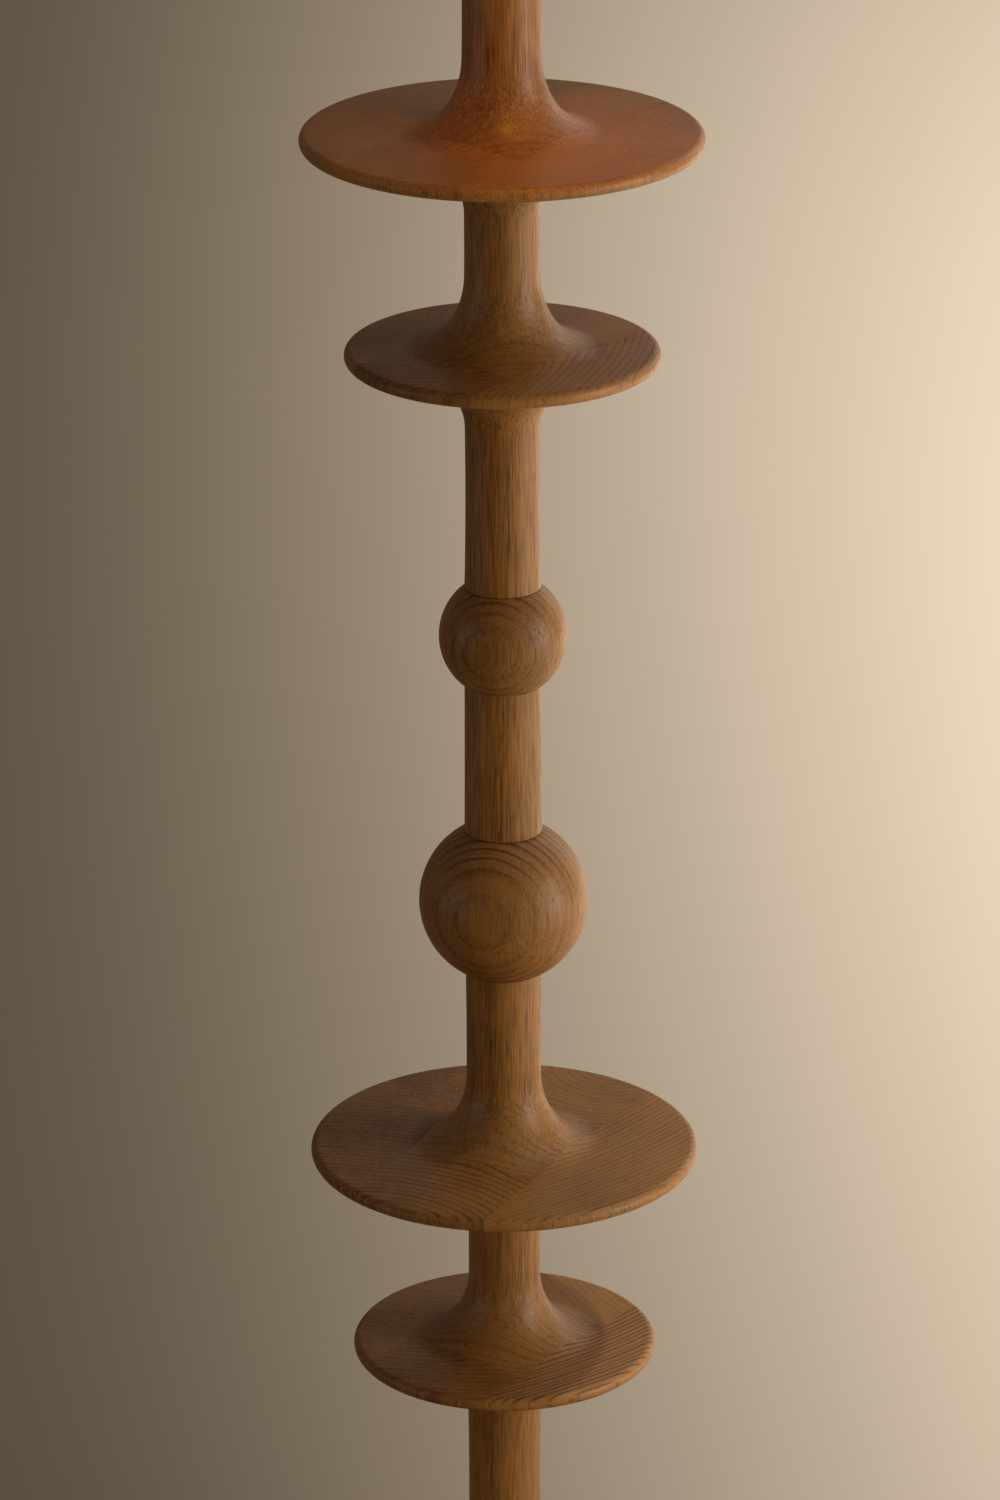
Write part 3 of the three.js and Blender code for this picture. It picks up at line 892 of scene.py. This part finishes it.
def finish_hardware():
    """The steel parts keep their CAD shapes, under their own finishes."""
    for seed, (name, colour) in enumerate(STEEL_COLOURS.items()):
        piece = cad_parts[name]
        piece.data.materials.clear()
        piece.data.materials.append(steel(f"Steel {name}", colour, float(seed)))


build_stems()
build_discs()
build_balls()
build_cup()
build_foot()
build_insert()
build_felt()
finish_hardware()


# ---- The floor, the light and the camera, in metres ----

FLOOR_SIZE = 40
FLOOR_DROP = 0.0002  # just clear of the felt's underside
CAMERA_AIM = Vector((-0.00108, 0, 0.342))
CAMERA_DISTANCE = 2.2876
CAMERA_PITCH = 0.369673  # in radians below the horizontal
CAMERA_ROLL = math.radians(-0.126)
CAMERA_LENS = 168
SENSOR = 36

LIGHT_COLOUR = (1.0, 0.955, 0.89)
GLOW_COLOUR = (1.0, 0.34, 0.02)
WORLD_LEFT = (0.115, 0.098, 0.082, 1)
WORLD_RIGHT = (0.76, 0.6, 0.46, 1)
MID_OBJECT = (0, 0, 0.3)  # where the soft lights look
SOFT_LIGHTS = {
    "Key": {"place": (1.5, -0.42, 0.45), "width": 0.8, "height": 1.2, "watts": 12.5},
    "Near": {"place": (0.45, 0.5, 0.5), "width": 0.2, "height": 0.9, "watts": 0.6},
    "Fill": {"place": (-1.4, -0.6, 0.3), "width": 1.2, "height": 1.2, "watts": 2.1},
    "Back": {"place": (0.9, 2.2, 1.1), "width": 1.6, "height": 1.6, "watts": 5},
}
# The spots that point straight down: a cone's angle, and the turn and length of its oval.
FLOOR_SPOT = {
    "place": (1.292, 0.265, 2.628), "degrees": 59.7, "turned": 7.2, "length": 4.66, "watts": 1280,
}
HIGH_SPOT = {
    "place": (1.375, 0.08, 3.12), "degrees": 53, "turned": 9, "length": 3.7, "watts": 1150,
}
LONG_SPOT_SOFTNESS = 0.1
GLOW_SPOT = {
    "place": (0.1, -0.3, 1.2), "target": (0.025, -0.015, 0.52), "degrees": 15, "watts": 9.3,
    "softness": 0.04, "colour": GLOW_COLOUR,
}
# The glow reaches the pieces whose names start with these.
GLOWING = ("upper_large_disc", "top_stem", "candle")


def build_floor():
    half = FLOOR_SIZE / 2
    bm = bmesh.new()
    corners = ((-half, -half), (half, -half), (half, half), (-half, half))
    bm.faces.new([bm.verts.new((x, y, -FLOOR_DROP)) for x, y in corners])
    floor = added_mesh("floor", bm, plain_ground())
    floor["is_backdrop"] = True
    return floor


def aimed(name, data, place, target):
    """An object at place that looks towards target."""
    thing = added(name, data)
    thing.location = place
    thing.rotation_euler = (Vector(target) - Vector(place)).to_track_quat("-Z", "Y").to_euler()
    return thing


def soft_light(name, place, width, height, watts):
    data = bpy.data.lights.new(name, "AREA")
    data.shape = "RECTANGLE"
    data.size = width
    data.size_y = height
    data.energy = watts
    data.color = LIGHT_COLOUR
    light = aimed(name, data, place, MID_OBJECT)
    light.visible_camera = False
    return light


def spot_light(name, place, target, degrees, watts, softness, colour=LIGHT_COLOUR):
    data = bpy.data.lights.new(name, "SPOT")
    data.spot_size = math.radians(degrees)
    data.spot_blend = 1.0
    data.shadow_soft_size = softness
    data.energy = watts
    data.color = colour
    return aimed(name, data, place, target)


def long_spot(name, place, degrees, turned, length, watts):
    """A spot that points straight down, with an oval cone."""
    below = (place[0], place[1], 0)
    light = spot_light(name, place, below, degrees, watts, LONG_SPOT_SOFTNESS)
    light.rotation_euler = (0, 0, math.radians(turned))
    light.scale = (1, length, 1)
    return light


def shine_only_on(light, things):
    receivers = bpy.data.collections.new(f"Lit by {light.name}")
    for thing in things:
        receivers.objects.link(thing)
    light.light_linking.receiver_collection = receivers


def build_world():
    """A dim studio that is brighter towards the right."""
    world = bpy.data.worlds.new("Studio")
    world.use_nodes = True
    tree = world.node_tree
    direction = node(tree, "TexCoord").outputs["Generated"]
    factor = step(tree, parts_of(tree, direction)["X"], 0.0, 1.0)
    colour = blend(tree, factor, WORLD_LEFT, WORLD_RIGHT)
    put(tree, tree.nodes["Background"].inputs["Color"], colour)
    bpy.context.scene.world = world


def build_light(floor):
    build_world()
    shine_only_on(long_spot("Floor", **FLOOR_SPOT), [floor])
    on_the_object = [soft_light(name, **numbers) for name, numbers in SOFT_LIGHTS.items()]
    on_the_object.append(long_spot("High", **HIGH_SPOT))
    for light in on_the_object:
        shine_only_on(light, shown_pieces())
    glowing = [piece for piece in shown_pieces() if piece.name.startswith(GLOWING)]
    shine_only_on(spot_light("Glow", **GLOW_SPOT), glowing)
    bpy.context.scene.view_settings.view_transform = "Standard"


def build_camera():
    data = bpy.data.cameras.new("Camera")
    data.sensor_width = SENSOR
    data.lens = CAMERA_LENS
    back = Vector((0, -math.cos(CAMERA_PITCH), math.sin(CAMERA_PITCH)))
    camera = aimed("Camera", data, CAMERA_AIM + back * CAMERA_DISTANCE, CAMERA_AIM)
    rolled = camera.rotation_euler.to_matrix() @ Matrix.Rotation(CAMERA_ROLL, 3, "Z")
    camera.rotation_euler = rolled.to_euler()
    bpy.context.scene.camera = camera


build_light(build_floor())
build_camera()
